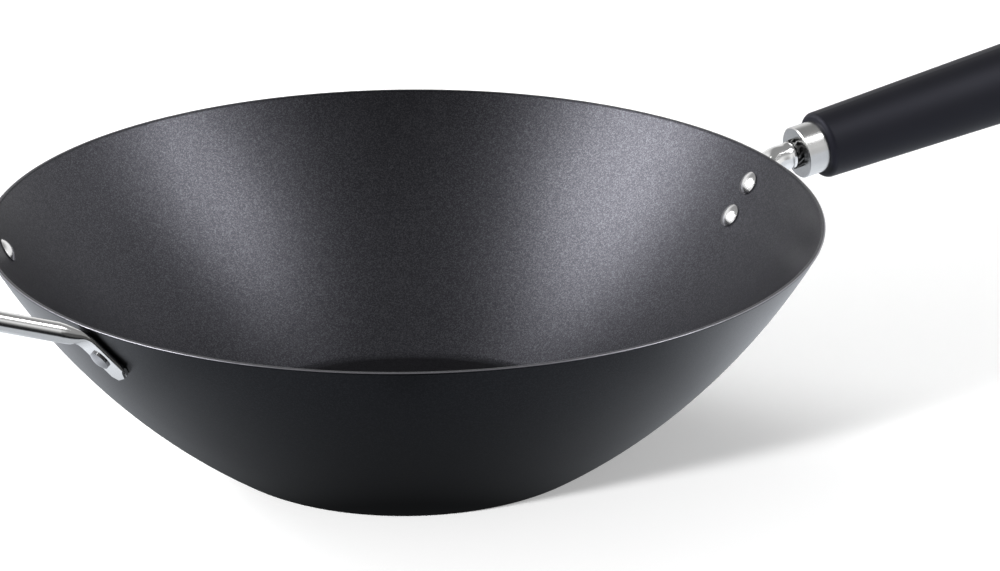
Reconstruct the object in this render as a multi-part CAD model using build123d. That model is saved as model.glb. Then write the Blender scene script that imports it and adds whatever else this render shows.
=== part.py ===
from build123d import *
from math import acos, asin, ceil, cos, degrees, hypot, pi, radians, sin, sqrt, tan
import os

# Carbon steel wok with a flat base, a long handle along +X and a helper handle along -X.
# Millimetres and degrees. The origin is the centre of the base, on the surface it stands on.

# Bowl
rim_radius = 175.0
bowl_height = 100.8
sheet = 1.5
base_flat_radius = 80.6
base_bend_radius = 11.0
foot_slope = 34.9
rim_edge_round = 0.45

# Fits and cuts that several pieces share
seat_gap = 0.1
press_gap = 0.02
overrun = 5.0

# Rivets of both handles
rivet_shank_radius = 2.5
rivet_hole_gap = 0.05
rivet_head_radius = 5.25
rivet_head_height = 2.2
rivet_head_edge = 0.5
rivet_tail_radius = 4.2
rivet_tail_height = 2.0
rivet_tail_edge = 0.9

# Long handle, placed by the centre of its ferrule's front face, and its rivets, measured down from the rim
handle_rise = 9.06
ferrule_reach = 15.7
ferrule_drop = 1.6
upper_rivet_drop = 13.0
lower_rivet_drop = 26.8

# Neck tube and its flattened tongue
neck_radius = 6.0
neck_bend_radius = 14.0
neck_to_ferrule = 3.0
tongue_width = 18.0
tongue_thickness = 4.0
neck_press_start_share = 0.08
neck_press_end_share = 0.84
tongue_end_margin = 9.0

# Stud and lock washer between the neck and the ferrule
stud_radius = 4.0
stud_in_neck = 10.0
stud_in_grip = 28.0
stud_chamfer = 0.6
washer_radius = 5.6
washer_thickness = 1.0
washer_bore_gap = 0.15
washer_tooth_count = 14
washer_tooth_tip_radius = 6.6
washer_tooth_thickness = 0.7
washer_tooth_twist = 38.0

# Ferrule cup
ferrule_radius = 11.7
ferrule_length = 10.5
ferrule_wall = 1.0
ferrule_chamfer = 0.4
ferrule_hole_gap = 0.25

# Grip
grip_front_radius = 15.0
grip_wide_radius = 18.1
grip_shoulder_round = 2.4
grip_taper_length = 128.0
grip_length = 170.0
grip_tail_radius = 12.5
grip_tail_round = 7.0
tail_flat_length = 26.0
tail_thickness = 14.0
tail_scoop_radius = 45.0
tail_edge_round = 1.6
hang_hole_radius = 5.0
hang_hole_inset = 14.0

# Threaded insert moulded into the grip
insert_across_flats = 13.0
insert_length = 24.0
insert_depth = 3.0
insert_stud_gap = 0.05

# Helper handle
helper_half_angle = 21.9
helper_rivet_drop = 12.8
tube_radius = 4.0
loop_rise = 19.0
leg_draw_in = 4.0
loop_reach = 50.0
loop_corner_radius = 18.0
tab_width = 13.0
fold_opening_length = 3.0
tab_thickness = 2.6
rivet_to_fold = 11.5
rivet_to_tip = 11.4
tab_tip_corner = 3.6
fold_radius = 6.5
rounding_length = 7.5
seam_gap = 0.3
seam_fold_gap = 0.7
seam_depth = 1.3
joint_step = 0.1

# Points on each section of a pressed tube, and the spacing of the sections along it
ring_points = 32
section_step = 2.6


def on_arc(centre, radius, slope):
    """The point of a profile arc where the profile climbs at that slope."""
    return Vector(centre.X + radius * sin(radians(slope)), centre.Y - radius * cos(radians(slope)))


# The wall's profile: a bend out of the base, then one long arc up to the rim
bend_centre = Vector(base_flat_radius, base_bend_radius)
foot = on_arc(bend_centre, base_bend_radius, foot_slope)
rim_point = Vector(rim_radius, bowl_height)
foot_inward = Vector(-sin(radians(foot_slope)), cos(radians(foot_slope)))
foot_to_rim = rim_point - foot
wall_radius = foot_to_rim.length ** 2 / (2 * foot_to_rim.dot(foot_inward))
wall_centre = foot + foot_inward * wall_radius


def slope_at(height, radius=wall_radius):
    """Slope of the wall's arc of that radius at a height above the base."""
    return degrees(acos((wall_centre.Y - height) / radius))


def make_bowl():
    """Pressed sheet bowl: the profile turned about the upright axis, then drilled for the rivets."""
    inner_bend = base_bend_radius - sheet
    inner_wall = wall_radius - sheet
    outer_rim_slope = slope_at(bowl_height)
    inner_rim_slope = slope_at(bowl_height, inner_wall)
    axis_top = Vector(0, sheet)
    outline = [
        Line(Vector(0, 0), Vector(base_flat_radius, 0)),
        profile_arc(bend_centre, base_bend_radius, 0, foot_slope),
        profile_arc(wall_centre, wall_radius, foot_slope, outer_rim_slope),
        Line(rim_point, on_arc(wall_centre, inner_wall, inner_rim_slope)),
        profile_arc(wall_centre, inner_wall, inner_rim_slope, foot_slope),
        profile_arc(bend_centre, inner_bend, foot_slope, 0),
        Line(Vector(base_flat_radius, sheet), axis_top),
        Line(axis_top, Vector(0, 0)),
    ]
    bowl = revolve(Plane.XZ * make_face(outline), Axis.Z)
    bowl = fillet(bowl.edges().group_by(Axis.Z)[-1], rim_edge_round)
    for place in rivet_places:
        bowl -= place * Cylinder(rivet_shank_radius + rivet_hole_gap, 2 * rivet_reach)
    return bowl


def profile_arc(centre, radius, start_slope, end_slope):
    """An arc of the profile between two slopes."""
    middle_slope = (start_slope + end_slope) / 2
    ends = [on_arc(centre, radius, slope) for slope in (start_slope, middle_slope, end_slope)]
    return ThreePointArc(*ends)


def wall_plane(height, azimuth):
    """A plane on the wall's outer skin: its x runs up the wall and its z points out of it."""
    slope = slope_at(height)
    reach = on_arc(wall_centre, wall_radius, slope)
    outward = Vector(cos(radians(azimuth)), sin(radians(azimuth)), 0)
    up = Vector(0, 0, 1)
    normal = outward * sin(radians(slope)) - up * cos(radians(slope))
    climb = outward * cos(radians(slope)) + up * sin(radians(slope))
    return Plane(outward * reach.X + up * height, x_dir=climb, z_dir=normal)


# Every rivet's place on the wall, below the rim, and a drill length that passes the thickest stack
upper_rivet_height = bowl_height - upper_rivet_drop
lower_rivet_height = bowl_height - lower_rivet_drop
helper_rivet_height = bowl_height - helper_rivet_drop
upper_rivet_plane = wall_plane(upper_rivet_height, 0)
lower_rivet_plane = wall_plane(lower_rivet_height, 0)
right_rivet_plane = wall_plane(helper_rivet_height, 180 - helper_half_angle)
left_rivet_plane = wall_plane(helper_rivet_height, 180 + helper_half_angle)
rivet_places = [upper_rivet_plane, lower_rivet_plane, right_rivet_plane, left_rivet_plane]
rivet_reach = sheet + tongue_thickness + overrun


def make_rivet(place, stack):
    """One rivet: a domed head inside the bowl, a shank through the wall and a stack, and a formed tail."""
    seat = sheet + seat_gap
    top = stack + 2 * seat_gap
    head_bulge = rivet_head_height - rivet_head_edge
    tail_bulge = rivet_tail_height - rivet_tail_edge
    outline = [
        Line(Vector(0, -seat - rivet_head_height), Vector(0, top + rivet_tail_height)),
        dome_arc(top + rivet_tail_edge, rivet_tail_radius, tail_bulge),
        Line(Vector(rivet_tail_radius, top + rivet_tail_edge), Vector(rivet_tail_radius, top)),
        Line(Vector(rivet_tail_radius, top), Vector(rivet_shank_radius, top)),
        Line(Vector(rivet_shank_radius, top), Vector(rivet_shank_radius, -seat)),
        Line(Vector(rivet_shank_radius, -seat), Vector(rivet_head_radius, -seat)),
        Line(Vector(rivet_head_radius, -seat), Vector(rivet_head_radius, -seat - rivet_head_edge)),
        dome_arc(-seat - rivet_head_edge, rivet_head_radius, -head_bulge),
    ]
    return place * revolve(Plane.XZ * make_face(outline), Axis.Z)


def dome_arc(edge_height, edge_radius, bulge):
    """Half of a dome's outline, from its crown on the axis to its edge."""
    dome_radius = (edge_radius ** 2 + bulge ** 2) / (2 * bulge)
    centre_height = edge_height + bulge - dome_radius
    half_turn = asin(edge_radius / abs(dome_radius)) / 2
    middle = Vector(abs(dome_radius) * sin(half_turn), centre_height + dome_radius * cos(half_turn))
    return ThreePointArc(Vector(0, edge_height + bulge), middle, Vector(edge_radius, edge_height))


def pressed_ring(plane, width, thickness):
    """The section of a tube pressed to a width and a thickness: two flats joined by half circles."""
    straight = width - thickness
    quarter = pi * thickness / 4
    around = 2 * straight + 4 * quarter
    points = []
    for number in range(ring_points):
        along = around * number / ring_points
        side = 1
        if along > quarter + straight + quarter:
            along = around - along
            side = -1
        if along <= quarter:
            turn = 2 * along / thickness
            point = Vector(straight / 2 + thickness / 2 * cos(turn), thickness / 2 * sin(turn))
        elif along <= quarter + straight:
            point = Vector(straight / 2 - (along - quarter), thickness / 2)
        else:
            turn = 2 * (along - straight) / thickness
            point = Vector(-straight / 2 + thickness / 2 * cos(turn), thickness / 2 * sin(turn))
        points.append(Vector(point.X, side * point.Y))
    return plane * make_face(Spline(points, periodic=True))


def eased(share):
    """A share from 0 to 1 that starts and ends gently."""
    clipped = min(max(share, 0), 1)
    return clipped * clipped * (3 - 2 * clipped)


# The long handle's line, in the upright plane through the bowl's axis
handle_axis = Vector(cos(radians(handle_rise)), 0, sin(radians(handle_rise)))
handle_up = Vector(-sin(radians(handle_rise)), 0, cos(radians(handle_rise)))
ferrule_front = Vector(rim_radius + ferrule_reach, 0, bowl_height - ferrule_drop)
handle_plane = Plane(ferrule_front, x_dir=handle_up, z_dir=handle_axis)

# The neck's middle line: the tongue lies along the wall, and one bend turns it into the handle's line
tongue_offset = seat_gap + tongue_thickness / 2
tongue_line_radius = wall_radius + tongue_offset
wall_centre_upright = Vector(wall_centre.X, 0, wall_centre.Y)
bend_reach = ferrule_front - handle_up * neck_bend_radius - wall_centre_upright
bend_back = handle_axis.dot(bend_reach)
bend_gap = (tongue_line_radius + neck_bend_radius) ** 2 - bend_reach.length ** 2
bend_start_along = sqrt(bend_back ** 2 + bend_gap) - bend_back
neck_bend_centre = ferrule_front + handle_axis * bend_start_along - handle_up * neck_bend_radius
bend_to_wall_centre = (wall_centre_upright - neck_bend_centre).normalized()
bend_turn = degrees(acos(handle_up.dot(bend_to_wall_centre)))


neck_straight = -neck_to_ferrule - bend_start_along
neck_bend_length = radians(bend_turn) * neck_bend_radius
tongue_top_slope = handle_rise + bend_turn
tongue_end_slope = slope_at(lower_rivet_height) - degrees((tongue_end_margin + overrun) / wall_radius)
tongue_length = radians(tongue_top_slope - tongue_end_slope) * tongue_line_radius


def neck_section(along):
    """The neck's section at a distance from its end: round, then pressed flat through the bend."""
    into_bend = along - neck_straight
    past_bend = into_bend - neck_bend_length
    if into_bend <= 0:
        middle = ferrule_front - handle_axis * (neck_to_ferrule + along)
        heading = handle_axis
    elif past_bend <= 0:
        turn = degrees(into_bend / neck_bend_radius)
        middle = neck_bend_centre + handle_up.rotate(Axis.Y, -turn) * neck_bend_radius
        heading = handle_axis.rotate(Axis.Y, -turn)
    else:
        slope = tongue_top_slope - degrees(past_bend / tongue_line_radius)
        point = on_arc(wall_centre, tongue_line_radius, slope)
        middle = Vector(point.X, 0, point.Y)
        heading = Vector(cos(radians(slope)), 0, sin(radians(slope)))
    press_span = neck_press_end_share - neck_press_start_share
    pressed = eased((into_bend / neck_bend_length - neck_press_start_share) / press_span)
    width = 2 * neck_radius + (tongue_width - 2 * neck_radius) * pressed
    thickness = 2 * neck_radius + (tongue_thickness - 2 * neck_radius) * pressed
    return pressed_ring(Plane(middle, x_dir=Vector(0, 1, 0), z_dir=heading), width, thickness)


def make_neck():
    """Neck tube: round from its end into the bend, then pressed flat along the wall."""
    length = neck_straight + neck_bend_length + tongue_length
    neck = loft([neck_section(along) for along in even_steps(length)])
    neck &= tongue_outline()
    neck -= handle_plane.offset(-neck_to_ferrule) * Cylinder(
        stud_radius + press_gap, stud_in_neck, align=(Align.CENTER, Align.CENTER, Align.MAX)
    )
    for place in (upper_rivet_plane, lower_rivet_plane):
        neck -= place * Cylinder(rivet_shank_radius + rivet_hole_gap, 2 * rivet_reach)
    return neck


def even_steps(length):
    """Distances from nought to a length, evenly spaced by about the section step."""
    count = ceil(length / section_step)
    return [length * number / count for number in range(count + 1)]


def tongue_outline():
    """A block that rounds the tongue's lower end about the lower rivet and leaves the rest whole."""
    half_width = tongue_width / 2
    height = 2 * (upper_rivet_height - lower_rivet_height) + ferrule_reach + bowl_height
    side = half_width + overrun
    body = Pos(height / 2, 0) * Rectangle(height, 2 * side)
    return lower_rivet_plane * extrude(Circle(half_width) + body, amount=bowl_height, both=True)


def make_stud():
    """Threaded stud, drawn at its outer diameter, from inside the neck to inside the grip's insert."""
    length = stud_in_neck + neck_to_ferrule + stud_in_grip
    rod = Cylinder(stud_radius, length - press_gap, align=(Align.CENTER, Align.CENTER, Align.MAX))
    rod = chamfer(rod.edges(), stud_chamfer)
    return handle_plane.offset(stud_in_grip) * rod


def make_lock_washer():
    """Toothed washer: a flat ring with twisted teeth that bite the neck's end and the ferrule."""
    middle = handle_plane.offset(-neck_to_ferrule / 2)
    ring = Cylinder(washer_radius, washer_thickness)
    tooth_length = neck_to_ferrule - 2 * seat_gap
    tooth_root = washer_radius - washer_thickness
    tooth_reach = washer_tooth_tip_radius - tooth_root
    tooth = Box(tooth_reach, washer_tooth_thickness, tooth_length / cos(radians(washer_tooth_twist)))
    tooth = Pos(tooth_root + tooth_reach / 2, 0, 0) * Rot(washer_tooth_twist, 0, 0) * tooth
    for number in range(washer_tooth_count):
        ring += Rot(0, 0, 360 * number / washer_tooth_count) * tooth
    ring &= Cylinder(washer_tooth_tip_radius, tooth_length)
    ring -= Cylinder(stud_radius + washer_bore_gap, 2 * neck_to_ferrule)
    return middle * ring


def make_ferrule():
    """Drawn steel cup: its face is clamped by the neck, and its skirt covers the grip's nose."""
    cup = Cylinder(ferrule_radius, ferrule_length, align=(Align.CENTER, Align.CENTER, Align.MIN))
    cup = chamfer(cup.edges().group_by(Axis.Z)[0], ferrule_chamfer)
    inside = Pos(0, 0, ferrule_wall) * Cylinder(
        ferrule_radius - ferrule_wall, ferrule_length, align=(Align.CENTER, Align.CENTER, Align.MIN)
    )
    hole = Cylinder(stud_radius + ferrule_hole_gap, 2 * ferrule_length)
    return handle_plane * (cup - inside - hole)


def grip_profile():
    """Half outline of the grip, measured along its axis from the ferrule's front face."""
    nose_front = ferrule_wall + seat_gap
    nose_radius = ferrule_radius - ferrule_wall - seat_gap
    shoulder = ferrule_length + seat_gap
    widest = shoulder + grip_taper_length
    end = shoulder + grip_length
    tail_start = Vector(grip_tail_radius, end - grip_tail_round)
    tail_end = Vector(grip_tail_radius - grip_tail_round, end)
    taper = Line(Vector(grip_front_radius, shoulder), Vector(grip_wide_radius, widest))
    belly = TangentArc(taper @ 1, tail_start, tangent=taper % 1)
    tail = TangentArc(tail_start, tail_end, tangent=belly % 1)
    return [
        Line(Vector(0, nose_front), Vector(nose_radius, nose_front)),
        Line(Vector(nose_radius, nose_front), Vector(nose_radius, shoulder)),
        Line(Vector(nose_radius, shoulder), taper @ 0),
        taper,
        belly,
        tail,
        Line(tail_end, Vector(0, end)),
        Line(Vector(0, end), Vector(0, nose_front)),
    ]


def make_grip():
    """Moulded grip: turned form, rounded shoulder, a flattened tail with a hanging hole, and its bores."""
    grip = revolve(Plane.XZ * make_face(grip_profile()), Axis.Z)
    shoulder = ferrule_length + seat_gap
    rims = [edge for edge in grip.edges().filter_by(GeomType.CIRCLE) if is_shoulder(edge)]
    grip = fillet(rims, grip_shoulder_round)
    end = shoulder + grip_length
    flat_start = end - tail_flat_length
    for side in (1, -1):
        flat = side * tail_thickness / 2
        far = side * (grip_wide_radius + overrun)
        scoop = [
            Line(Vector(flat, end + overrun), Vector(flat, flat_start)),
            TangentArc(Vector(flat, flat_start), scoop_top(side, flat_start), tangent=Vector(0, -1)),
            Line(scoop_top(side, flat_start), Vector(far, flat_start - tail_scoop_radius)),
            Line(Vector(far, flat_start - tail_scoop_radius), Vector(far, end + overrun)),
            Line(Vector(far, end + overrun), Vector(flat, end + overrun)),
        ]
        grip -= extrude(Plane.XZ * make_face(scoop), amount=grip_wide_radius + overrun, both=True)
    tail_edges = [edge for edge in grip.edges() if edge.center().Z > flat_start - tail_scoop_radius]
    grip = fillet([edge for edge in tail_edges if is_scoop_edge(edge)], tail_edge_round)
    hole_place = Pos(0, 0, end - hang_hole_inset) * Rot(0, 90, 0)
    grip -= hole_place * Cylinder(hang_hole_radius, 2 * grip_wide_radius)
    grip -= insert_block(0)
    bore_length = stud_in_grip + overrun
    grip -= Cylinder(
        stud_radius + ferrule_hole_gap, bore_length, align=(Align.CENTER, Align.CENTER, Align.MIN)
    )
    return handle_plane * grip


def is_shoulder(edge):
    """Whether a circle is the grip's outer front edge."""
    return abs(edge.radius - grip_front_radius) < seat_gap


def is_scoop_edge(edge):
    """Whether an edge borders the tail's flats or scoops rather than the turned form."""
    middle = edge.position_at(1 / 2)
    half = tail_thickness / 2
    return abs(middle.X) > half - seat_gap and hypot(middle.X, middle.Y) > half + seat_gap


def scoop_top(side, flat_start):
    """Where a scoop's arc has climbed out of the grip."""
    climb = grip_wide_radius + overrun - tail_thickness / 2
    turn = acos(1 - climb / tail_scoop_radius) if climb < tail_scoop_radius else pi / 2
    rise = tail_scoop_radius * (1 - cos(turn))
    return Vector(side * (tail_thickness / 2 + rise), flat_start - tail_scoop_radius * sin(turn))


def insert_block(gap):
    """The hexagonal insert's outside, in the grip's frame, smaller by a gap all round."""
    flats = insert_across_flats - 2 * gap
    front = ferrule_wall + seat_gap + insert_depth
    hexagon = RegularPolygon(flats / 2, 6, major_radius=False)
    return Pos(0, 0, front + gap) * extrude(hexagon, amount=insert_length - 2 * gap)


def make_insert():
    """Threaded insert that is moulded into the grip and screws onto the stud."""
    bore = Cylinder(stud_radius + insert_stud_gap, 2 * (insert_length + stud_in_grip))
    return handle_plane * (insert_block(press_gap) - bore)


class HelperEnd:
    """The +Y end of the helper handle: a pressed tab, its fold and the start of the leg."""

    def __init__(self, rivet_plane):
        outward = Vector(-cos(radians(loop_rise)), 0, sin(radians(loop_rise)))
        self.leg = outward * cos(radians(leg_draw_in)) - Vector(0, sin(radians(leg_draw_in)), 0)
        self.normal = rivet_plane.z_dir
        self.tab = (self.normal * self.leg.dot(self.normal) - self.leg).normalized()
        self.middle = rivet_plane.origin + self.normal * (seat_gap + tab_thickness / 2)
        self.plane = Plane(self.middle, x_dir=self.tab, z_dir=self.normal)
        self.fold_turn = acos(-self.tab.dot(self.leg))
        self.fold_tangent = fold_radius * tan(self.fold_turn / 2)
        self.fold = self.middle - self.tab * rivet_to_fold
        self.fold_centre = self.fold + self.tab * self.fold_tangent + self.normal * fold_radius
        self.leg_start = self.fold + self.leg * self.fold_tangent
        self.tab_length = rivet_to_tip + rivet_to_fold - self.fold_tangent
        self.fold_length = fold_radius * self.fold_turn
        self.joint = self.leg_start + self.leg * rounding_length
        self.corner = self.leg_start + self.leg * loop_reach

    def station(self, along):
        """A plane across the middle line at a distance from the tab's tip."""
        into_fold = along - self.tab_length
        into_leg = into_fold - self.fold_length
        across = self.plane.y_dir
        if into_fold <= 0:
            return Plane(self.middle + self.tab * (rivet_to_tip - along), x_dir=across, z_dir=-self.tab)
        if into_leg <= 0:
            turn = into_fold / fold_radius
            spoke = self.normal * -cos(turn) - self.tab * sin(turn)
            heading = self.normal * sin(turn) - self.tab * cos(turn)
            return Plane(self.fold_centre + spoke * fold_radius, x_dir=across, z_dir=heading)
        return Plane(self.leg_start + self.leg * into_leg, x_dir=across, z_dir=self.leg)

    def section(self, along):
        """The section there: pressed in the tab, then opening to a round that enters the loop."""
        start = self.tab_length - fold_opening_length
        opened = eased((along - start) / (self.tab_length + self.fold_length + rounding_length - start))
        round_size = 2 * (tube_radius - joint_step)
        width = tab_width + (round_size - tab_width) * opened
        thickness = tab_thickness + (round_size - tab_thickness) * opened
        place = self.station(along)
        lift = (thickness - tab_thickness) / 2 * (1 - opened)
        middle = place.origin - place.y_dir * lift
        return pressed_ring(Plane(middle, x_dir=place.x_dir, z_dir=place.z_dir), width, thickness)

    def make(self):
        """The whole end, with its tip's corners cut off and the slit between its pressed walls."""
        length = self.tab_length + self.fold_length + rounding_length + section_step
        end = loft([self.section(along) for along in even_steps(length)])
        half = tab_width / 2
        beyond = rivet_to_tip + overrun
        for side in (1, -1):
            corner = make_face(Polyline(
                (beyond, side * (half - tab_tip_corner - overrun)),
                (beyond, side * (half + overrun)),
                (rivet_to_tip - tab_tip_corner - overrun, side * (half + overrun)),
                close=True,
            ))
            end -= self.plane * extrude(corner, amount=tab_thickness, both=True)
        return end - self.plane * self.seam()

    def seam(self):
        """The slit between the two pressed walls: a thin wedge round a core that is left whole."""
        tip = rivet_to_tip + overrun
        back = self.fold_tangent - rivet_to_fold
        wedge = Plane.XZ * make_face(Polyline(
            (tip, seam_gap / 2), (back, seam_fold_gap / 2),
            (back, -seam_fold_gap / 2), (tip, -seam_gap / 2), close=True,
        ))
        half = tab_width / 2 - seam_depth
        front = rivet_to_tip - seam_depth
        behind = back - overrun
        core = make_face(Polyline(
            (behind, half), (front - tab_tip_corner, half), (front, half - tab_tip_corner),
            (front, tab_tip_corner - half), (front - tab_tip_corner, -half), (behind, -half), close=True,
        ))
        slit = extrude(wedge, amount=tab_width, both=True)
        return slit - extrude(core, amount=tab_thickness, both=True)


def across_wok(point):
    """The same point on the other side of the wok."""
    return Vector(point.X, -point.Y, point.Z)


def make_helper_handle():
    """Bent tube loop with a pressed and drilled tab at each end."""
    end = HelperEnd(right_rivet_plane)
    corners = [end.joint, end.corner, across_wok(end.corner), across_wok(end.joint)]
    path = FilletPolyline(*corners, radius=loop_corner_radius)
    handle = sweep(Plane(end.joint, z_dir=end.leg) * Circle(tube_radius), path=path)
    tab = end.make()
    handle += tab
    handle += mirror(tab, Plane.XZ)
    for place in (right_rivet_plane, left_rivet_plane):
        handle -= place * Cylinder(rivet_shank_radius + rivet_hole_gap, 2 * rivet_reach)
    return handle


if __name__ == "__main__":
    os.makedirs("parts", exist_ok=True)
    nodes = {
        "bowl": make_bowl(),
        "handle_neck": make_neck(),
        "upper_handle_rivet": make_rivet(upper_rivet_plane, tongue_thickness),
        "lower_handle_rivet": make_rivet(lower_rivet_plane, tongue_thickness),
        "neck_stud": make_stud(),
        "lock_washer": make_lock_washer(),
        "ferrule": make_ferrule(),
        "grip": make_grip(),
        "grip_insert": make_insert(),
        "helper_handle": make_helper_handle(),
        "right_helper_rivet": make_rivet(right_rivet_plane, tab_thickness),
        "left_helper_rivet": make_rivet(left_rivet_plane, tab_thickness),
    }
    for name, shape in nodes.items():
        export_step(shape, f"parts/{name}.step")
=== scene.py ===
# %% [markdown]
# # A carbon steel wok, dressed for its photograph
# The solids of the wok are made and packed elsewhere. This notebook loads them as a fixed frame,
# and gives them a camera, a studio, a smooth bowl and finishes. Each step says first what the
# real thing is, how it could be made, and why it is made in the way that follows.

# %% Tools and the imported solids
from math import cos, pi, radians, sin

import bpy
from mathutils import Matrix, Vector


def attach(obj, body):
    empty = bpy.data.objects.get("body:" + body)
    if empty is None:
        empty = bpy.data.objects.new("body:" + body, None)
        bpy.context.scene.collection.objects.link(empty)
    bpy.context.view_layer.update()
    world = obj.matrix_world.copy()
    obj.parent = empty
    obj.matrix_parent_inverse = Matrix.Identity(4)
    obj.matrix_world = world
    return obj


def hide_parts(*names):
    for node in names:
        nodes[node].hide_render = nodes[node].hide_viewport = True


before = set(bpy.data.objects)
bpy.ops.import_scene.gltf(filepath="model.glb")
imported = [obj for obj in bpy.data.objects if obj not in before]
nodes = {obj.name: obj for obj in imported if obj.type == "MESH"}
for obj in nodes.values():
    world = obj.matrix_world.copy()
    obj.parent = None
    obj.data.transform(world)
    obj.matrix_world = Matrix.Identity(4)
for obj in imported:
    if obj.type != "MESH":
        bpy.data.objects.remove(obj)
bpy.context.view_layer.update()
MM = 0.001
print("pieces:", ", ".join(sorted(nodes)))

# %% [markdown]
# ## Where the photograph was taken from
# The photograph looks down on the wok by about 22 degrees, with the long handle pointing away to
# the right. A camera could be placed by eye, but one that is fitted to the rim and the base also
# gives the distance and the field of view. The wok's own X axis is its handle, so the
# photographer's axes are turned by the handle's angle.

# %% Camera
HANDLE_TURN = radians(24.4)
SENSOR_WIDTH = 36
LENS = 110.1
CAMERA_PLACE = (0, -1.2079, 0.5306)
CAMERA_LOOK = (0.0303, 0.9334, -0.3576)


def from_studio(x, y, z):
    """A point of the photographer's frame (X right, Y away, Z up), in the wok's own frame."""
    return Matrix.Rotation(-HANDLE_TURN, 4, "Z") @ Vector((x, y, z))


def aim(toward):
    """The turn that points an object's -Z along a direction, with its X level."""
    return toward.to_track_quat("-Z", "Y").to_euler()


camera_data = bpy.data.cameras.new("studio_camera")
camera = bpy.data.objects.new("studio_camera", camera_data)
bpy.context.scene.collection.objects.link(camera)
camera_data.sensor_width = SENSOR_WIDTH
camera_data.lens = LENS
camera.location = from_studio(*CAMERA_PLACE)
camera.rotation_euler = aim(from_studio(*CAMERA_LOOK))
bpy.context.scene.camera = camera
bpy.context.scene.view_settings.view_transform = "Standard"
print("camera at", [round(c, 3) for c in camera.location], "lens", camera_data.lens)

# %% [markdown]
# ## Sums with sockets
# A material is a small sum written with nodes. Python can write the same sum in one line if a
# socket knows how to add, subtract, multiply and divide itself. The class below wraps one socket.
# Its operators add Math nodes, and its method node adds any other node.


# %% The socket class
class Wire:
    """One output socket of a node tree, with operators that add Math nodes."""

    def __init__(self, tree, socket=None):
        self.tree = tree
        self.socket = socket

    def node(self, kind, settings=None, values=None, out=0):
        """Adds a node: first its settings, then the values or wires of its sockets."""
        made = self.tree.nodes.new(kind)
        for name, setting in (settings or {}).items():
            setattr(made, name, setting)
        for name, value in (values or {}).items():
            if isinstance(value, Wire):
                self.tree.links.new(value.socket, made.inputs[name])
            else:
                made.inputs[name].default_value = value
        return Wire(self.tree, made.outputs[out]) if made.outputs else None

    def math(self, operation, *values):
        return self.node("ShaderNodeMath", {"operation": operation}, dict(enumerate(values)))

    def __add__(self, other):
        return self.math("ADD", self, other)

    def __radd__(self, other):
        return self.math("ADD", other, self)

    def __sub__(self, other):
        return self.math("SUBTRACT", self, other)

    def __rsub__(self, other):
        return self.math("SUBTRACT", other, self)

    def __mul__(self, other):
        return self.math("MULTIPLY", self, other)

    def __rmul__(self, other):
        return self.math("MULTIPLY", other, self)

    def __truediv__(self, other):
        return self.math("DIVIDE", self, other)

    def __gt__(self, other):
        return self.math("GREATER_THAN", self, other)

    def clamp(self):
        return self.math("MINIMUM", self.math("MAXIMUM", self, 0.0), 1.0)

    def rise(self, start, length):
        """0 before start, 1 from start + length on, and a straight rise between."""
        return ((self - start) / length).clamp()


# %% [markdown]
# Four more helpers keep the sums below short: one tells apart the rays that look at the studio,
# one splits a vector, and two measure and scale it.


# %% Helpers for rays and vectors
def kinds_of_ray(start):
    """Wires that are 1 for the camera's own rays, for mirrored rays and for rays through glass."""
    kinds = ("Is Camera Ray", "Is Glossy Ray", "Is Transmission Ray")
    return [start.node("ShaderNodeLightPath", out=kind) for kind in kinds]


def part_of(start, vector, axis):
    return start.node("ShaderNodeSeparateXYZ", values={0: vector}, out=axis)


def scaled(start, vector, factors):
    return start.node("ShaderNodeVectorMath", {"operation": "MULTIPLY"}, {0: vector, 1: factors})


def length_of(start, vector):
    return start.node("ShaderNodeVectorMath", {"operation": "LENGTH"}, {0: vector}, out="Value")


# %% [markdown]
# ## The studio's walls
# The photograph's background is pure white, but the polished steel and the dark coating show more
# of the room: it is bright all round, dimmer overhead and dark behind the camera. An image of a
# room could be wrapped round the scene. A few sums on the direction do the same with less. The
# camera sees plain white, mirrored rays see that simple room, and as a light the world is a quiet
# grey.

# %% World
WORLD_LIGHT = 0.46
CEILING_START, CEILING_FADE, CEILING_GLOSS = 0.42, 0.25, 0.32
DARK_ROOM_START, DARK_ROOM_FADE, DARK_ROOM_DEPTH = 0.58, 0.2, 0.9

world = bpy.data.worlds.new("studio_world")
bpy.context.scene.world = world
world.use_nodes = True
world.node_tree.nodes.clear()
start = Wire(world.node_tree)
seen, mirrored, through = kinds_of_ray(start)
direction = start.node("ShaderNodeTexCoord", out="Generated")
toward_camera = start.node("ShaderNodeVectorMath", {"operation": "DOT_PRODUCT"}, {
    0: direction, 1: from_studio(0, -1, 0)}, out="Value")
dark_room = toward_camera.rise(DARK_ROOM_START, DARK_ROOM_FADE)
ceiling = part_of(start, direction, "Z").rise(CEILING_START, CEILING_FADE)
gloss = (1.0 - ceiling * (1 - CEILING_GLOSS)) * (1.0 - dark_room * DARK_ROOM_DEPTH)
strength = (WORLD_LIGHT + (seen + through).clamp() * (1 - WORLD_LIGHT)
            + mirrored * (gloss - WORLD_LIGHT))
white = start.node("ShaderNodeBackground", values={"Color": (1, 1, 1, 1), "Strength": strength})
start.node("ShaderNodeOutputWorld", values={"Surface": white})
print("world lights at", WORLD_LIGHT)

# %% [markdown]
# ## The floor
# The floor is a sheet of white paper. It lies square to the camera, so its own X and Y say how
# far a spot is to the side of the wok and in front of it.

# %% Floor
FLOOR_HALF = 3.0

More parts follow.
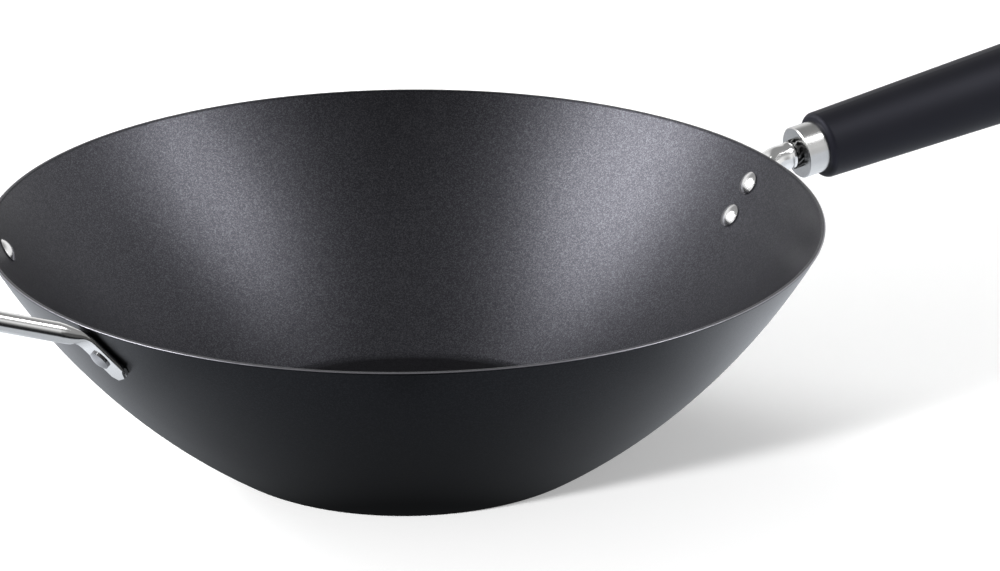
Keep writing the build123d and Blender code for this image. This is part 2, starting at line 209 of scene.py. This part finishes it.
floor_mesh = bpy.data.meshes.new("studio_floor")
floor_corners = [
    (-FLOOR_HALF, -FLOOR_HALF, 0), (FLOOR_HALF, -FLOOR_HALF, 0),
    (FLOOR_HALF, FLOOR_HALF, 0), (-FLOOR_HALF, FLOOR_HALF, 0)]
floor_mesh.from_pydata(floor_corners, [], [(0, 1, 2, 3)])
floor = bpy.data.objects.new("studio_floor", floor_mesh)
floor.rotation_euler.z = -HANDLE_TURN
bpy.context.scene.collection.objects.link(floor)
print("floor is", 2 * FLOOR_HALF, "m square")

# %% [markdown]
# The camera sees matt paper that takes the shadow, with a faint glow so that it reads as white,
# and a stronger one far away, where it runs into the background. The coating mirrors only the
# paper close to the wok, and the photograph's bowl is nearly black below and lighter towards its
# sides. Real paper is darker there under the wok's own cover. So a mirrored ray sees no lit paper
# but a painted brightness, worked out from the distance to the base: painted shade close by,
# bright past the rim, a painted brighter band at the two sides, a little less far out, and painted
# dark again towards the camera, where the room is dark. COVER makes that painted dark patch
# narrower to the sides than from front to back.


# %% Paper
def new_material(name):
    """An empty material and a starting wire in its tree."""
    material = bpy.data.materials.new(name)
    material.use_nodes = True
    material.node_tree.nodes.clear()
    return material, Wire(material.node_tree)


COVER = (1.25, 0.9, 1.0)
SHADE_RADIUS, OPEN_RADIUS, OPEN_CURVE = 0.084, 0.184, 1.1
SHADED_PAPER, OPEN_PAPER = 0.03, 0.60
SIDE_START, SIDE_FADE, SIDE_GAIN = 0.145, 0.05, 0.55
DISTANT_START, DISTANT_FADE, DISTANT_LOSS = 0.30, 0.10, 0.25
FRONT_START, FRONT_FADE, FRONT_LOSS, FRONT_SPREAD = 0.17, 0.06, 0.96, 0.9


def painted_paper_light(start, spot, from_base):
    """Painted shade and light that a mirrored ray sees on the paper at this spot."""
    # Painted shade close to the base that opens to painted light past the rim, a painted brighter
    # band at the two sides, less far out, and painted shade towards the camera.
    opened = from_base.rise(SHADE_RADIUS, OPEN_RADIUS - SHADE_RADIUS)
    openness = start.math("POWER", opened, OPEN_CURVE)
    to_side = start.math("ABSOLUTE", part_of(start, spot, "X"))
    to_front = 0.0 - part_of(start, spot, "Y")
    sides = to_side.rise(SIDE_START, SIDE_FADE) * SIDE_GAIN
    distant = from_base.rise(DISTANT_START, DISTANT_FADE) * DISTANT_LOSS
    front = (to_front - to_side * FRONT_SPREAD).rise(FRONT_START, FRONT_FADE) * FRONT_LOSS
    return (SHADED_PAPER + OPEN_PAPER * openness + sides) * (1.0 - distant) * (1.0 - front)


print("mirrored paper goes from", SHADED_PAPER, "to", SHADED_PAPER + OPEN_PAPER)

# %% [markdown]
# The finished paper adds the matt part and the glow. A mirrored ray sees no matt part, only the
# painted brightness above, with a slight blue in it.

# %% The floor's material
PAPER_WHITE = 0.8
NEAR_GLOW, FAR_GLOW, FAR_START, FAR_FADE = 0.35, 0.6, 0.7, 0.6
MIRRORED_LOSS = (0.08, 0.04, -0.02)

floor_material, start = new_material("white_sweep")
seen, mirrored, through = kinds_of_ray(start)
spot = start.node("ShaderNodeTexCoord", out="Object")
from_base = length_of(start, scaled(start, spot, COVER))
paleness = PAPER_WHITE * (1.0 - mirrored)
matt = start.node("ShaderNodeBsdfDiffuse", values={
    "Color": start.node("ShaderNodeCombineColor", values=dict.fromkeys(range(3), paleness))})
far = from_base.rise(FAR_START, FAR_FADE)
camera_glow = (seen + through).clamp() * (NEAR_GLOW + far * FAR_GLOW)
glow = start.node("ShaderNodeEmission", values={
    "Color": start.node("ShaderNodeCombineColor", values={
        channel: 1.0 - mirrored * loss for channel, loss in enumerate(MIRRORED_LOSS)}),
    "Strength": camera_glow + mirrored * painted_paper_light(start, spot, from_base)})
both = start.node("ShaderNodeAddShader", values={0: matt, 1: glow})
start.node("ShaderNodeOutputMaterial", values={"Surface": both})
floor_mesh.materials.append(floor_material)
print("floor has", len(floor_material.node_tree.nodes), "nodes")

# %% [markdown]
# ## The lamps
# Two broad bands of light run down the inside of the bowl, one on each side, and each is the
# blurred reflection of a soft box. Reflecting the line of sight at those bands gives where the
# boxes stand: level with the wok's sides, about 40 degrees up. They would throw shadows where the
# photograph has none, so they don't light matt surfaces. Two low boxes that nothing mirrors light
# those instead. Each throws a wide shadow, and where the two overlap lies the one narrow wedge of
# the photograph.

# %% Soft boxes
WOK_MIDDLE = Vector((0, 0, 0.06))


def soft_box(name, azimuth, elevation, distance, size, power, floor_light=True, reflected=True):
    """A rectangular lamp that faces the wok, placed by its direction in the photographer's frame.

    Without floor_light it lights no matt surface, and unless it is reflected no metal mirrors it.
    """
    data = bpy.data.lights.new(name, "AREA")
    data.shape = "RECTANGLE"
    data.size, data.size_y = size
    data.energy = power
    lamp = bpy.data.objects.new(name, data)
    bpy.context.scene.collection.objects.link(lamp)
    azimuth, elevation = radians(azimuth), radians(elevation)
    flat = cos(elevation) * distance
    place = from_studio(cos(azimuth) * flat, sin(azimuth) * flat, sin(elevation) * distance)
    lamp.location = place + WOK_MIDDLE
    lamp.rotation_euler = aim(-place)
    lamp.visible_diffuse = floor_light
    lamp.visible_glossy = reflected
    print(name, "at", [round(c, 2) for c in lamp.location])


soft_box("left_soft_box", 184, 39, 1.6, (1.0, 0.9), 26, floor_light=False)
soft_box("right_soft_box", -8, 43, 1.6, (0.42, 0.9), 11.5, floor_light=False)
soft_box("front_shadow_box", 223, 12.3, 3.0, (0.3, 0.3), 210, reflected=False)
soft_box("back_shadow_box", 131, 16.8, 3.0, (1.4, 1.4), 130, reflected=False)

# %% [markdown]
# ## The bowl
# A wok like this is pressed from one disc of sheet steel. Turn a profile about the upright axis,
# and the bowl appears: a flat base, a tight bend, one long arc for the wall and a rim trimmed
# level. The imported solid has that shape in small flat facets. Geometry Nodes can turn it smoothly
# from the same named sizes: a flat grid is rolled up, one direction going round and the other
# following the profile from the centre of the outside, over the rim, to the centre of the inside.

# %% The bowl's sizes
BOWL = {
    "Base Flat Radius": 80.6 * MM,
    "Base Bend Radius": 11.0 * MM,
    "Foot Slope": radians(34.9),
    "Sheet": 1.5 * MM,
    "Rim Height": 100.8 * MM,
    "Rim Rounding": 0.5 * MM,
}
RIM_RADIUS = 175.0 * MM
foot_slope = BOWL["Foot Slope"]
bend = BOWL["Base Bend Radius"]
foot = Vector((BOWL["Base Flat Radius"] + bend * sin(foot_slope), bend - bend * cos(foot_slope)))
inward = Vector((-sin(foot_slope), cos(foot_slope)))
span = Vector((RIM_RADIUS, BOWL["Rim Height"])) - foot
BOWL["Wall Radius"] = span.length_squared / (2 * span.dot(inward))
wall_centre = foot + inward * BOWL["Wall Radius"]
BOWL["Wall Centre Reach"], BOWL["Wall Centre Height"] = wall_centre
print("wall arc radius", round(BOWL["Wall Radius"] / MM, 1), "mm")

# %% [markdown]
# Every point of the grid works out two things: how far it has climbed along the profile, and how
# far it has crossed from the outer skin of the sheet to the inner one. The climb gives the slope
# of the profile there, and the slope gives the point. The rows lie closer together towards the
# rim, because smooth shading over wide rows would draw a dark band below it.


# %% The bowl's profile
SKIN_STEPS = 64
RIM_STEPS = 16
FLAT_SHARE = 0.12
RIM_CROWDING = 1.6
RIM_ROUNDNESS = 0.4


def bowl_profile(start, size, climb, crossing):
    """How far out and how high a point of the profile lies."""
    depth = size["Sheet"] * (1 - start.math("COSINE", crossing * pi)) * 0.5
    unbent = 1.0 - climb.rise(FLAT_SHARE, 1 - FLAT_SHARE)
    bent = 1.0 - start.math("POWER", unbent, RIM_CROWDING)
    wall_radius = size["Wall Radius"] - depth
    seam_height = size["Rim Height"] - size["Rim Rounding"]
    rim_cosine = (size["Wall Centre Height"] - seam_height) / wall_radius
    slope = bent * start.math("ARCCOSINE", rim_cosine)
    sine = start.math("SINE", slope)
    cosine = start.math("COSINE", slope)
    on_wall = slope > size["Foot Slope"]
    bend_radius = size["Base Bend Radius"] - depth
    base_reach = size["Base Flat Radius"] * (climb / FLAT_SHARE).clamp() + bend_radius * sine
    wall_reach = size["Wall Centre Reach"] + wall_radius * sine
    reach = base_reach + on_wall * (wall_reach - base_reach)
    base_height = size["Base Bend Radius"] - bend_radius * cosine
    wall_height = size["Wall Centre Height"] - wall_radius * cosine
    rounded = start.math("POWER", start.math("SINE", crossing * pi).clamp(), RIM_ROUNDNESS)
    height = base_height + on_wall * (wall_height - base_height) + size["Rim Rounding"] * rounded
    return reach, height


print("profile has", 2 * SKIN_STEPS + RIM_STEPS, "rows")

# %% [markdown]
# The tree has one named input for each size. It keeps the crossing as an attribute, so that the
# finish can tell the outside, the bare trimmed edge and the inside apart. That has to be stored
# before the points move, because it is worked out from their place on the flat grid.


# %% The bowl's tree
TURN_STEPS = 288
DOUBLES_GAP = 0.002 * MM


def bowl_tree():
    """Geometry Nodes that turn the bowl from its profile."""
    tree = bpy.data.node_groups.new("turned_bowl", "GeometryNodeTree")
    tree.interface.new_socket("Geometry", in_out="OUTPUT", socket_type="NodeSocketGeometry")
    for name in BOWL:
        tree.interface.new_socket(name, in_out="INPUT", socket_type="NodeSocketFloat")
    tree.interface.new_socket("Finish", in_out="INPUT", socket_type="NodeSocketMaterial")
    start = Wire(tree)
    group_in = tree.nodes.new("NodeGroupInput")
    size = {name: Wire(tree, group_in.outputs[name]) for name in list(BOWL) + ["Finish"]}
    rows = 2 * SKIN_STEPS + RIM_STEPS
    grid = start.node("GeometryNodeMeshGrid", values={
        "Size X": 1.0, "Size Y": 1.0, "Vertices X": TURN_STEPS + 1, "Vertices Y": rows + 1})
    place = start.node("GeometryNodeInputPosition")
    row = (part_of(start, place, "Y") + 0.5) * rows
    climb = start.math(
        "MINIMUM", (row / SKIN_STEPS).clamp(), ((rows - row) / SKIN_STEPS).clamp())
    crossing = row.rise(SKIN_STEPS, RIM_STEPS)
    reach, height = bowl_profile(start, size, climb, crossing)
    turn = (part_of(start, place, "X") + 0.5) * (2 * pi)
    point = start.node("ShaderNodeCombineXYZ", values={
        "X": reach * start.math("COSINE", turn), "Y": reach * start.math("SINE", turn),
        "Z": height})
    shape = start.node(
        "GeometryNodeStoreNamedAttribute", {"data_type": "FLOAT", "domain": "POINT"},
        {"Geometry": grid, "Name": "skin", "Value": crossing})
    for kind, values in (
            ("GeometryNodeSetPosition", {"Position": point}),
            ("GeometryNodeMergeByDistance", {"Distance": DOUBLES_GAP}),
            ("GeometryNodeSetShadeSmooth", {"Shade Smooth": True}),
            ("GeometryNodeRealizeInstances", {}),
            ("GeometryNodeSetMaterial", {"Material": size["Finish"]})):
        shape = start.node(kind, values={"Geometry": shape, **values})
    out = tree.nodes.new("NodeGroupOutput")
    tree.links.new(shape.socket, out.inputs["Geometry"])
    return tree


print("bowl takes", len(BOWL), "sizes")

# %% [markdown]
# A modifier runs the tree. Its result is copied into a plain mesh and the modifier goes, so the
# piece that is dressed is a mesh like any other.


# %% From a tree to a mesh
def made_by_nodes(name, tree, inputs, material):
    """Runs a tree on an empty mesh with these inputs and returns the result as a mesh object."""
    holder = bpy.data.objects.new(name, bpy.data.meshes.new(name + "_start"))
    bpy.context.scene.collection.objects.link(holder)
    modifier = holder.modifiers.new("nodes", "NODES")
    modifier.node_group = tree
    for item in tree.interface.items_tree:
        if item.item_type == "SOCKET" and item.in_out == "INPUT":
            modifier[item.identifier] = material if item.name == "Finish" else inputs[item.name]
    graph = bpy.context.evaluated_depsgraph_get()
    mesh = bpy.data.meshes.new_from_object(holder.evaluated_get(graph))
    holder.modifiers.remove(modifier)
    holder.data = mesh
    mesh.name = name
    return holder


# %% [markdown]
# ## The bowl's coating
# The steel is covered with a hard dark coating. Its colour is a blue-black grey, it has a fine
# grain like emery with tiny paler flakes, and it shines softly. The inside is lighter and
# grainier than the outside. The rim is trimmed after the coating, so bare steel shows on its
# outer edge as a thin line. An image of the grain would show its pixels or repeat itself, and
# Noise and Voronoi textures on Object coordinates do neither.


# %% Texture helpers
def principled(start, values):
    """The one shader node that every finish of the wok ends in."""
    shader = start.node("ShaderNodeBsdfPrincipled", values=values)
    start.node("ShaderNodeOutputMaterial", values={"Surface": shader})


def noise(start, place, scale, detail):
    return start.node("ShaderNodeTexNoise", values={
        "Vector": place, "Scale": scale, "Detail": detail})


def mix_colours(start, share, first, second):
    settings = {"data_type": "RGBA"}
    return start.node("ShaderNodeMix", settings, {0: share, 6: first, 7: second}, out=2)


# %% Where each part of the coating lies
GRAIN_SCALE = 2200.0
CLOUD_SCALE = 28.0
FLAKE_SCALE = 2500.0
SKIN_MIDDLE, SKIN_SHARPNESS = 0.5, 12
TRIM_MIDDLE, TRIM_HALF, TRIM_SHARPNESS = 0.20, 0.18, 30
OUTER_FLAKES = 0.2

coating, start = new_material("speckled_coating")
place = start.node("ShaderNodeTexCoord", out="Object")
skin = start.node("ShaderNodeAttribute", {"attribute_name": "skin"}, out="Fac")
inside = ((skin - SKIN_MIDDLE) * SKIN_SHARPNESS + 0.5).clamp()
trimmed = ((TRIM_HALF - start.math("ABSOLUTE", skin - TRIM_MIDDLE)) * TRIM_SHARPNESS).clamp()
grain = noise(start, place, GRAIN_SCALE, 3.0)
cloud = noise(start, place, CLOUD_SCALE, 3.0)
flakes = start.node("ShaderNodeTexVoronoi", values={
    "Vector": place, "Scale": FLAKE_SCALE}, out="Color")
one_value = start.node("ShaderNodeSeparateColor", values={0: flakes}, out=0)
flake = start.math("POWER", one_value, 2.0) * (OUTER_FLAKES + inside * (1 - OUTER_FLAKES))
print("coating has a grain of about", round(1000 / GRAIN_SCALE, 2), "mm")

# %% Coating
OUTER_COLOURS = (0.0135, 0.0142, 0.0168, 1), (0.0160, 0.0168, 0.0198, 1)
INNER_COLOURS = (0.036, 0.0358, 0.0418, 1), (0.044, 0.0438, 0.0510, 1)
FLAKE_COLOUR = (0.16, 0.162, 0.178, 1)
FLAKE_STRENGTH = 0.42
BARE_EDGE = (0.31, 0.305, 0.335, 1)
COATING_ROUGH, INNER_ROUGHER, CLOUD_ROUGH, GRAIN_ROUGH = 0.31, 0.06, 0.06, 0.10
BARE_ROUGH = 0.3
GRAIN_DEPTH = 0.09 * MM

outer_dark = mix_colours(start, cloud, *OUTER_COLOURS)
inner_dark = mix_colours(start, cloud, *INNER_COLOURS)
dark = mix_colours(start, inside, outer_dark, inner_dark)
paler = mix_colours(start, FLAKE_STRENGTH, dark, FLAKE_COLOUR)
flecked = mix_colours(start, flake, dark, paler)
rough = (COATING_ROUGH + inside * INNER_ROUGHER
         + (cloud - 0.5) * CLOUD_ROUGH + (grain - 0.5) * GRAIN_ROUGH)
principled(start, {
    "Base Color": mix_colours(start, trimmed, flecked, BARE_EDGE),
    "Roughness": rough + trimmed * (BARE_ROUGH - rough),
    "Metallic": 1.0,
    "Normal": start.node("ShaderNodeBump", values={
        "Strength": 0.4, "Distance": GRAIN_DEPTH, "Height": grain * (0.5 + inside * 0.5)})})
print("coating has", len(coating.node_tree.nodes), "nodes")

# %% [markdown]
# With its tree and its coating ready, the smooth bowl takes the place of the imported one. It stays
# on the same body and keeps the same kind of finish.

# %% The smooth bowl
bowl = made_by_nodes("smooth_bowl", bowl_tree(), BOWL, coating)
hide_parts("bowl")
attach(bowl, "root")
print("bowl has", len(bowl.data.polygons), "faces")

# %% [markdown]
# ## Bright steel
# The neck and the helper handle are polished steel, the ferrule is a little duller, and the
# rivets are satin. They mostly show the studio itself, so the finish needs little: a faint haze,
# and fine scratches that catch the light. The rivets' tails outside the bowl are given a darker
# colour than their heads inside it. A plain cone that follows the wall tells the two ends of a
# rivet apart.


# %% Steel finishes
HAZE_SCALE, HAZE_START, HAZE_GAIN = 60.0, 0.35, 1.6
SCRATCH_SCALE = 900.0
HAZE_DARKENING = 0.86
WALL_LEAN = 0.54
WALL_REACH = 118.5 * MM


def steel(name, colour, rough, scratch, relief_depth, tail_colour=None):
    """A steel with haze and fine scratches, and if wanted another colour outside the bowl."""
    material, start = new_material(name)
    place = start.node("ShaderNodeTexCoord", out="Object")
    haze = noise(start, place, HAZE_SCALE, 4.0)
    fine = noise(start, place, SCRATCH_SCALE, 2.0)
    worn = tuple(channel * HAZE_DARKENING for channel in colour[:3]) + (1,)
    shade = mix_colours(start, (haze - HAZE_START).clamp() * HAZE_GAIN, colour, worn)
    if tail_colour:
        reach = length_of(start, scaled(start, place, (1, 1, 0)))
        outside = (reach - part_of(start, place, "Z") * WALL_LEAN) > WALL_REACH
        shade = mix_colours(start, outside, shade, tail_colour)
    principled(start, {
        "Base Color": shade,
        "Metallic": 1.0,
        "Roughness": rough + (haze - 0.5) * scratch + (fine - 0.5) * scratch * 0.5,
        "Normal": start.node("ShaderNodeBump", values={
            "Strength": 0.2, "Distance": relief_depth, "Height": fine})})
    return material


polished = steel("polished_steel", (0.80, 0.80, 0.795, 1), 0.15, 0.05, 0.002 * MM)
satin = steel("satin_steel", (0.62, 0.62, 0.615, 1), 0.24, 0.12, 0.006 * MM)
rivet_steel = steel(
    "rivet_steel", (0.82, 0.82, 0.82, 1), 0.20, 0.10, 0.03 * MM, (0.36, 0.36, 0.37, 1))
turned = steel("turned_steel", (0.20, 0.20, 0.20, 1), 0.35, 0.2, 0.03 * MM)
brass = steel("turned_brass", (0.70, 0.52, 0.24, 1), 0.3, 0.15, 0.03 * MM)
print("steels:", polished.name, satin.name, rivet_steel.name, turned.name, brass.name)

# %% [markdown]
# ## The grip
# The grip is moulded in a black resin with a satin surface. The mould leaves a very fine even
# grain, and hands polish it a little, so its shine varies slowly along it. Its reflection is a
# little blue and weaker than a plain plastic's, which a lower specular level and a tint give.

# %% Grip finish
RESIN_COLOURS = (0.0040, 0.0040, 0.0060, 1), (0.0060, 0.0060, 0.0086, 1)
RESIN_ROUGH, PATCH_ROUGH, RESIN_GRAIN_ROUGH = 0.53, 0.12, 0.08
RESIN_GRAIN_SCALE, PATCH_SCALE = 1800.0, 35.0
RESIN_SPECULAR = 0.24
RESIN_TINT = (0.82, 0.84, 1.0, 1)
RESIN_GRAIN_DEPTH = 0.04 * MM

resin, start = new_material("black_resin")
place = start.node("ShaderNodeTexCoord", out="Object")
grain = noise(start, place, RESIN_GRAIN_SCALE, 2.0)
patches = noise(start, place, PATCH_SCALE, 3.0)
principled(start, {
    "Base Color": mix_colours(start, patches, *RESIN_COLOURS),
    "Roughness": RESIN_ROUGH + (patches - 0.5) * PATCH_ROUGH + (grain - 0.5) * RESIN_GRAIN_ROUGH,
    "Specular IOR Level": RESIN_SPECULAR,
    "Specular Tint": RESIN_TINT,
    "Normal": start.node("ShaderNodeBump", values={
        "Strength": 0.3, "Distance": RESIN_GRAIN_DEPTH, "Height": grain})})
print("grip has", resin.name)

# %% [markdown]
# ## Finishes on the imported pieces
# Every piece but the bowl is shown as it was packed. Its mesh stays as it is and only gets a
# finish. The stud and the insert are hidden in the grip, and still get theirs.

# %% Finishes
FINISH = {
    "handle_neck": polished, "ferrule": satin, "helper_handle": polished,
    "upper_handle_rivet": rivet_steel, "lower_handle_rivet": rivet_steel,
    "right_helper_rivet": rivet_steel, "left_helper_rivet": rivet_steel,
    "neck_stud": turned, "lock_washer": turned, "grip": resin, "grip_insert": brass,
}
for name, material in FINISH.items():
    nodes[name].data.materials.clear()
    nodes[name].data.materials.append(material)
print(len(FINISH), "pieces have a finish")
